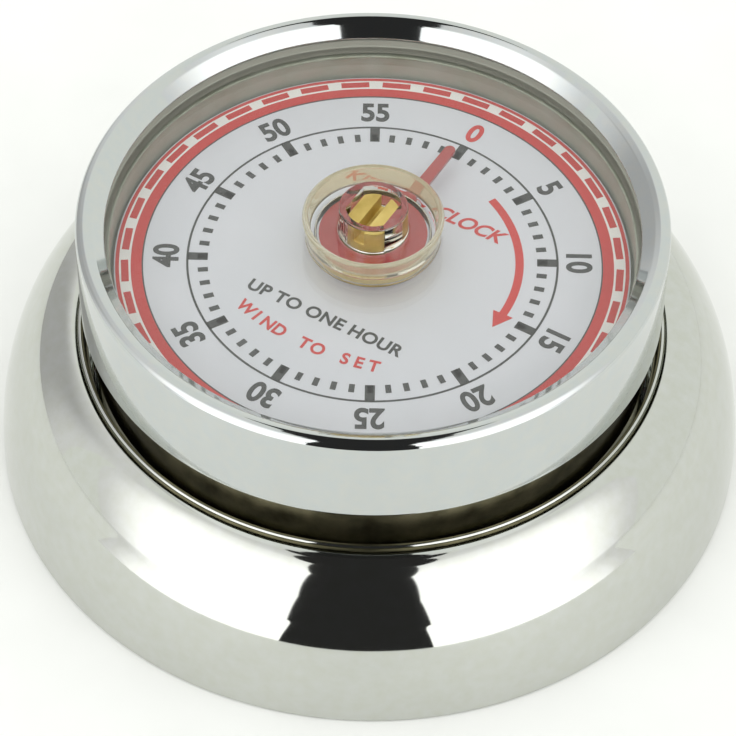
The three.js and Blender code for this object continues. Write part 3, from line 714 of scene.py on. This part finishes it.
# %% Geometry Nodes tree for marks round a circle
def marks_tree():
    tree = bpy.data.node_groups.new("marks_round_a_circle", "GeometryNodeTree")
    face = tree.interface
    face.new_socket("Geometry", in_out="OUTPUT", socket_type="NodeSocketGeometry")
    sockets = {"Count": "Int", "Circle": "Float", "Size": "Vector", "First": "Float", "Height": "Float"}
    for name, kind in sockets.items():
        face.new_socket(name, in_out="INPUT", socket_type="NodeSocket" + kind)
    face.new_socket("Material", in_out="INPUT", socket_type="NodeSocketMaterial")
    given = add_node(tree, "NodeGroupInput").outputs
    index = add_node(tree, "GeometryNodeInputIndex").outputs[0]
    step = add_node(tree, "ShaderNodeMath", {1: given["Count"]}, operation="DIVIDE")
    step.inputs[0].default_value = 2 * math.pi
    angle = add_node(
        tree, "ShaderNodeMath", {0: index, 1: step.outputs[0], 2: given["First"]}, operation="MULTIPLY_ADD",
    )
    east = add_node(tree, "ShaderNodeMath", {0: angle.outputs[0]}, operation="COSINE")
    north = add_node(tree, "ShaderNodeMath", {0: angle.outputs[0]}, operation="SINE")
    unit = add_node(tree, "ShaderNodeCombineXYZ", {"X": east.outputs[0], "Y": north.outputs[0]})
    spread = add_node(
        tree, "ShaderNodeVectorMath", {0: unit.outputs[0], "Scale": given["Circle"]}, operation="SCALE",
    )
    lift = add_node(tree, "ShaderNodeCombineXYZ", {"Z": given["Height"]})
    place = add_node(
        tree, "ShaderNodeVectorMath", {0: spread.outputs[0], 1: lift.outputs[0]}, operation="ADD",
    )
    points = add_node(tree, "GeometryNodePoints", {"Count": given["Count"], "Position": place.outputs[0]})
    block = add_node(tree, "GeometryNodeMeshCube", {"Size": given["Size"]})
    turn = add_node(tree, "ShaderNodeCombineXYZ", {"Z": angle.outputs[0]})
    copies = add_node(tree, "GeometryNodeInstanceOnPoints", {
        "Points": points.outputs[0], "Instance": block.outputs["Mesh"], "Rotation": turn.outputs[0],
    })
    real = add_node(tree, "GeometryNodeRealizeInstances", {0: copies.outputs[0]})
    coloured = add_node(
        tree, "GeometryNodeSetMaterial", {"Geometry": real.outputs[0], "Material": given["Material"]},
    )
    add_node(tree, "NodeGroupOutput", {"Geometry": coloured.outputs[0]})
    return tree


MARKS = marks_tree()
INK = 0.02               # thickness of the print
INK_Z = DIAL_Z - INK / 2 - 0.005


def marks(name, count, circle, long, wide, material, first=math.pi / 2, height=INK_Z):
    holder = bpy.data.objects.new(name, bpy.data.meshes.new(name))
    bpy.context.scene.collection.objects.link(holder)
    modifier = holder.modifiers.new("marks", "NODES")
    modifier.node_group = MARKS
    values = {
        "Count": count, "Circle": circle * MM, "Size": (long * MM, wide * MM, INK * MM),
        "First": first, "Height": height * MM, "Material": material,
    }
    for item in MARKS.interface.items_tree:
        if item.in_out == "INPUT":
            modifier[item.identifier] = values[item.name]
    return apply_modifiers(holder)


print("tree has", len(MARKS.nodes), "nodes")

# %% [markdown]
# The rings of the print are thin flat washers. The border is a red washer with white
# hairlines and a dashed line in it, so the white is printed first and the red on top.
# All sizes of the print are fractions of the minute ring's radius R.

# %% Minute ring, marks and border
def washer(name, inner, outer, material):
    top = DIAL_Z - 0.005
    return turned(name, [(inner, top - INK), (outer, top - INK), (outer, top), (inner, top)], material)


def on_dial(piece):
    return finish_piece(piece, "case", "printed_dial")


R = SCALE_R
on_dial(washer("minute_ring", 0.994 * R, 1.006 * R, dark_ink))
on_dial(marks("minute_marks", 60, 0.9175 * R, 0.055 * R, 0.031 * R, dark_ink))
on_dial(marks("five_minute_marks", 12, 0.945 * R, 0.11 * R, 0.053 * R, dark_ink))
on_dial(washer("border_line", 1.238 * R, 1.246 * R, dark_ink))
on_dial(washer("border_red_band", 1.246 * R, 1.305 * R, red_ink))
on_dial(washer("border_white_band", 1.305 * R, 1.368 * R, white_line))
FIRST_DASH = math.pi / 2 + math.radians(5)
on_dial(marks("border_dashes", 36, 1.3365 * R, 0.040 * R, 0.158 * R, red_ink, FIRST_DASH, INK_Z + 0.004))
on_dial(washer("border_outer_line", 1.368 * R, 1.388 * R, red_ink))

# %% [markdown]
# Numerals are set with the built-in sans letter, made bolder by growing the outline, and
# turned so that their tops point outwards. The 0 is red.

# %% Numerals and words
def lettering(name, body, size, material, at, turn, offset=0.0, squeeze=1.0, slant=0.0, spacing=1.0):
    font = bpy.data.curves.new(name, "FONT")
    font.body = body
    font.size = size
    font.offset = offset
    font.shear = slant
    font.space_character = spacing
    font.align_x, font.align_y = "CENTER", "CENTER"
    font.extrude = INK / 2
    holder = bpy.data.objects.new(name, font)
    bpy.context.scene.collection.objects.link(holder)
    graph = bpy.context.evaluated_depsgraph_get()
    mesh = bpy.data.meshes.new_from_object(holder.evaluated_get(graph))
    bpy.data.objects.remove(holder)
    corners = [[v.co[i] for v in mesh.vertices] for i in (0, 1)]
    middle = [(min(values) + max(values)) / 2 for values in corners]
    mesh.transform(Matrix.Translation((-middle[0], -middle[1], 0)))
    stretch = Matrix.Diagonal((squeeze, 1, 1, 1))
    mesh.transform(Matrix.Translation((at[0], at[1], INK_Z)) @ Matrix.Rotation(turn, 4, "Z") @ stretch)
    mesh.transform(Matrix.Scale(MM, 4))
    mesh.materials.clear()
    mesh.materials.append(material)
    piece = bpy.data.objects.new(name, mesh)
    bpy.context.scene.collection.objects.link(piece)
    return piece


NUMERAL_CIRCLE = 1.117 * R
NUMERAL_SIZE = 0.188 * R
NUMERAL_BOLD, WORD_BOLD = 0.006 * R, 0.003 * R            # how far the outlines are grown
for minute in range(0, 60, 5):
    swing = -math.radians(minute * 6)
    spot = Matrix.Rotation(swing, 3, "Z") @ Vector((0, NUMERAL_CIRCLE, 0))
    ink = red_ink if minute == 0 else dark_ink
    on_dial(lettering(f"numeral_{minute}", str(minute), NUMERAL_SIZE, ink, spot, swing, NUMERAL_BOLD, 0.88))

# %% [markdown]
# The words are generic and set in plain letters. A line of words can bend: it is set letter
# by letter on a wide arc, each letter turned to its place.

# %% Words on the dial
def bent_words(name, words, size, middle, bend, pitch, material):
    """Letters on an arc of radius bend that curls up at both ends."""
    for i, letter in enumerate(words):
        if letter == " ":
            continue
        a = (i - (len(words) - 1) / 2) * pitch / bend
        spot = (middle[0] + bend * math.sin(a), middle[1] + bend * (1 - math.cos(a)))
        on_dial(lettering(f"{name}_{i}", letter, size, material, spot, a, WORD_BOLD, 0.95))


on_dial(lettering(
    "word_hour", "UP TO ONE HOUR", 0.108 * R, dark_ink, (0, -0.49 * R), 0, WORD_BOLD, spacing=1.05,
))
bent_words("word_set", "WIND TO SET", 0.105 * R, (0, -0.70 * R), 1.5 * R, 0.08 * R, red_ink)
on_dial(lettering(
    "word_clock", "KITCHEN CLOCK", 0.125 * R, red_ink, (0.04 * R, 0.50 * R), 0, WORD_BOLD, slant=0.3,
))

# %% [markdown]
# The arrow shows which way to wind. It is a bent bar with a triangular head.

# %% Winding arrow
def winding_arrow():
    shaft, wide, first, last = 0.795 * R, 0.045 * R, math.radians(24.6), math.radians(88)
    steps = 40
    outer, inner = [], []
    for i in range(steps + 1):
        a = math.pi / 2 - (first + (last - first) * i / steps)
        outer.append(((shaft + wide / 2) * math.cos(a), (shaft + wide / 2) * math.sin(a)))
        inner.append(((shaft - wide / 2) * math.cos(a), (shaft - wide / 2) * math.sin(a)))
    base = math.pi / 2 - last
    head = 0.059 * R
    tip_angle = math.pi / 2 - math.radians(96)
    tip = (shaft * math.cos(tip_angle), shaft * math.sin(tip_angle))
    corners = [((shaft + head) * math.cos(base), (shaft + head) * math.sin(base)), tip,
               ((shaft - head) * math.cos(base), (shaft - head) * math.sin(base))]
    outline = outer + corners + inner[::-1]
    return solid_slab("winding_arrow", outline[::-1], INK_Z - INK / 2, INK_Z + INK / 2, red_ink)


on_dial(winding_arrow())

# %% [markdown]
# ### Underside
# A pressed cover with a well for the ring magnet, held by three screws. The cover's
# edges are rounded by the press, and the magnet's are ground to a small round.

# %% Cover and magnet
WELL_R, COVER_R = 18.8, 33.7
COVER_LOW, WELL_LOW = 1.0, 3.4
cover = turned("bottom_cover_fine", [
    (0, WELL_LOW), (WELL_R, WELL_LOW, 0.3), (WELL_R, COVER_LOW, 0.4), (COVER_R, COVER_LOW, 0.2),
    (COVER_R, COVER_LOW + SHEET, 0.2), (WELL_R + SHEET, COVER_LOW + SHEET, 0.3),
    (WELL_R + SHEET, WELL_LOW + SHEET, 0.4), (0, WELL_LOW + SHEET),
], steel, closed=False)
finish_piece(cover, "case", "bright_steel", "bottom_cover")
MAGNET_IN, MAGNET_OUT, MAGNET_TOP = 8, 18.4, 3.1
magnet = turned("magnet_ring_fine", [
    (MAGNET_IN, OFF_TABLE, 0.3), (MAGNET_OUT, OFF_TABLE, 0.3), (MAGNET_OUT, MAGNET_TOP, 0.3),
    (MAGNET_IN, MAGNET_TOP, 0.3),
], ferrite)
finish_piece(magnet, "case", "ferrite", "magnet_ring")

# %% [markdown]
# ## Finishes for the movement
# The wheels, springs and plates keep their exact meshing shapes, and get the finish of
# the real metal: turned brass for plates and wheels, ground steel for arbors and levers,
# blued steel for springs.

# %% Finish the remaining solids
FINISH = {"brass": brass, "bright_steel": steel, "satin_zinc": zinc, "chromed_steel": chrome}
SPRINGS = {"mainspring", "hairspring", "click_spring", "hammer_spring"}
slots = {row["node"]: row["material_slot"] for row in frame["record"]["subparts"]}
for name, solid in nodes.items():
    finish = spring_steel if name in SPRINGS else FINISH.get(slots[name], steel)
    solid.data.materials.clear()
    solid.data.materials.append(finish)
print("finished", len(nodes), "solids")

# %% [markdown]
# ## Studio
# Chrome shows the room, so the room matters most. The walls and floor are pale. Two large
# soft lights stand left and right of the camera, with a dark gap between them and
# overhead: that gap is the black shape on the front of the base. A dimmer grey wall stands
# behind on the left.

# %% Floor, room and lights
def floor():
    bm = bmesh.new()
    bmesh.ops.create_grid(bm, x_segments=1, y_segments=1, size=1500)
    piece = link_mesh("floor", bm, floor_paint, False)
    return piece


floor_paint = coated("pale_floor", "F2F2F1", "EFEFEE", 0.6, 2.0, 0.02)
floor()
ROOM_LIGHT = 1.06
world = bpy.data.worlds.new("room")
bpy.context.scene.world = world
world.use_nodes = True
world.node_tree.nodes["Background"].inputs["Color"].default_value = (0.96, 0.98, 0.94, 1)
world.node_tree.nodes["Background"].inputs["Strength"].default_value = ROOM_LIGHT
print("room light", ROOM_LIGHT)

# %% [markdown]
# Two wide panels light the matt surfaces. They are hidden from reflections, because the
# sheets below are what the chrome should show.

# %% Panels for the matt surfaces
PANEL_DISTANCE = 700
PANEL_WATTS = 0.6
PANEL_SIZE = 0.45        # metres
PANEL_ROUND, PANEL_UP = 48, 55     # degrees from the viewer and from the floor


def light_panel(name, degrees_round, degrees_up):
    data = bpy.data.lights.new(name, "AREA")
    data.energy = PANEL_WATTS
    data.size = PANEL_SIZE
    away = towards_viewer(VIEW_AZIMUTH + math.radians(degrees_round), math.radians(degrees_up))
    panel = bpy.data.objects.new(name, data)
    place = Matrix.Translation(away * PANEL_DISTANCE * MM)
    panel.matrix_world = place @ away.to_track_quat("Z", "Y").to_matrix().to_4x4()
    panel.visible_glossy = False
    bpy.context.scene.collection.objects.link(panel)
    return panel


for name, side in (("panel_left", -1), ("panel_right", 1)):
    print(light_panel(name, side * PANEL_ROUND, PANEL_UP).name)

# %% [markdown]
# The soft lights, the gap and the grey wall are sheets on a large dome. They are seen in
# reflections only, so they shape the chrome without burning out the dial. Each sheet is
# a list of edges: from one direction to another, as degrees round from the viewer and
# degrees above the floor. Below the horizon the sheet slopes down to the near edge of the
# worktop. An attribute on the sheet fades its light away from the inner edge, so the
# patches in the chrome end softly, as under a real diffuser.

# %% Soft lights and the dark gap
DOME = 600
EYE_HEIGHT = 13
NEAR_EDGE = 64
NEAR_SLOPE = 0.24        # sine of the angle below the horizon at which the near edge lies


def dome_point(direction):
    eye = Vector((0, 0, EYE_HEIGHT))
    if direction.z >= 0:
        return eye + direction * DOME
    flat = Vector((direction.x, direction.y, 0)).normalized()
    down = min(1, -direction.z / NEAR_SLOPE)
    return (eye + flat * DOME).lerp(flat * NEAR_EDGE + Vector((0, 0, 0.5)), down)


def facing(degrees_round, degrees_up):
    return towards_viewer(VIEW_AZIMUTH + math.radians(degrees_round), math.radians(degrees_up))


def fall_off(across, along, both):
    side = min(1, (1 - across) / 0.35, across / 0.35 if both else 1)
    top = min(1, (1 - along) / 0.45)
    return side * side * (3 - 2 * side) * top * top * (3 - 2 * top)


def dome_sheet(name, edges, material, both=False, steps=16, between=8):
    bm = bmesh.new()
    fade = bm.verts.layers.float.new("fade")
    rows = []
    count = (len(edges) - 1) * between
    for k in range(count + 1):
        first = min(k // between, len(edges) - 2)
        t = k / between - first
        ends = [[edges[first][e][c] * (1 - t) + edges[first + 1][e][c] * t for c in (0, 1)] for e in (0, 1)]
        a, b = facing(*ends[0]), facing(*ends[1])
        row = []
        for i in range(steps + 1):
            vertex = bm.verts.new(dome_point(a.slerp(b, i / steps)))
            vertex[fade] = fall_off(i / steps, k / count, both)
            row.append(vertex)
        rows.append(row)
    for lower, upper in zip(rows, rows[1:]):
        for i in range(steps):
            bm.faces.new((lower[i], lower[i + 1], upper[i + 1], upper[i]))
    sheet = link_mesh(name, bm, material, False)
    for ray in ("camera", "diffuse", "shadow", "transmission", "volume_scatter"):
        setattr(sheet, "visible_" + ray, False)
    return sheet


def glow(name, strength, faded=None):
    material, tree, surface, at = new_material(
        name, Base_Color=grey(0.0), Roughness=1.0, Specular_IOR_Level=0.0,
    )
    surface.inputs["Emission Color"].default_value = grey(1.0)
    surface.inputs["Emission Strength"].default_value = strength
    if faded is not None:
        fade = add_node(tree, "ShaderNodeAttribute", attribute_name="fade")
        mix = add_node(
            tree, "ShaderNodeMapRange", {"Value": fade.outputs["Fac"]}, To_Min=faded, To_Max=strength,
        )
        tree.links.new(mix.outputs["Result"], surface.inputs["Emission Strength"])
    return material


GAP_LEFT = [(-17.5, -15), (-20, 0), (-18.5, 22), (-20, 54), (-30, 72), (-80, 82)]
GAP_RIGHT = [(14, -15), (17, 0), (15, 22), (16.5, 54), (28, 72), (80, 82)]
OUTER = [(62, -15), (77, 0), (86, 22), (98, 45), (118, 62), (135, 72)]
BEHIND = [(130, 79), (150, 71), (164, 63), (178, 58)]
lit, dark = glow("soft_light_cloth", 2.0, 1.0), glow("dark_gap", 0.032)
dome_sheet("soft_light_right", list(zip(GAP_RIGHT, OUTER)), lit)
dome_sheet("soft_light_left", [(inner, (-a, e)) for inner, (a, e) in zip(GAP_LEFT, OUTER)], lit)
gap_edges = list(zip(GAP_LEFT, GAP_RIGHT)) + [((-a, e), (a, e)) for a, e in BEHIND]
dome_sheet("gap_between", gap_edges, dark)
FAR_WALL = [((-95, -4), (-160, -4)), ((-97, 30), (-160, 30)), ((-105, 58), (-160, 58))]
dome_sheet("grey_wall", FAR_WALL, glow("grey_wall_paint", 0.58, 1.0), both=True)
print("studio ready")

view = bpy.context.scene.view_settings
view.view_transform = "Standard"
view.look = "None"
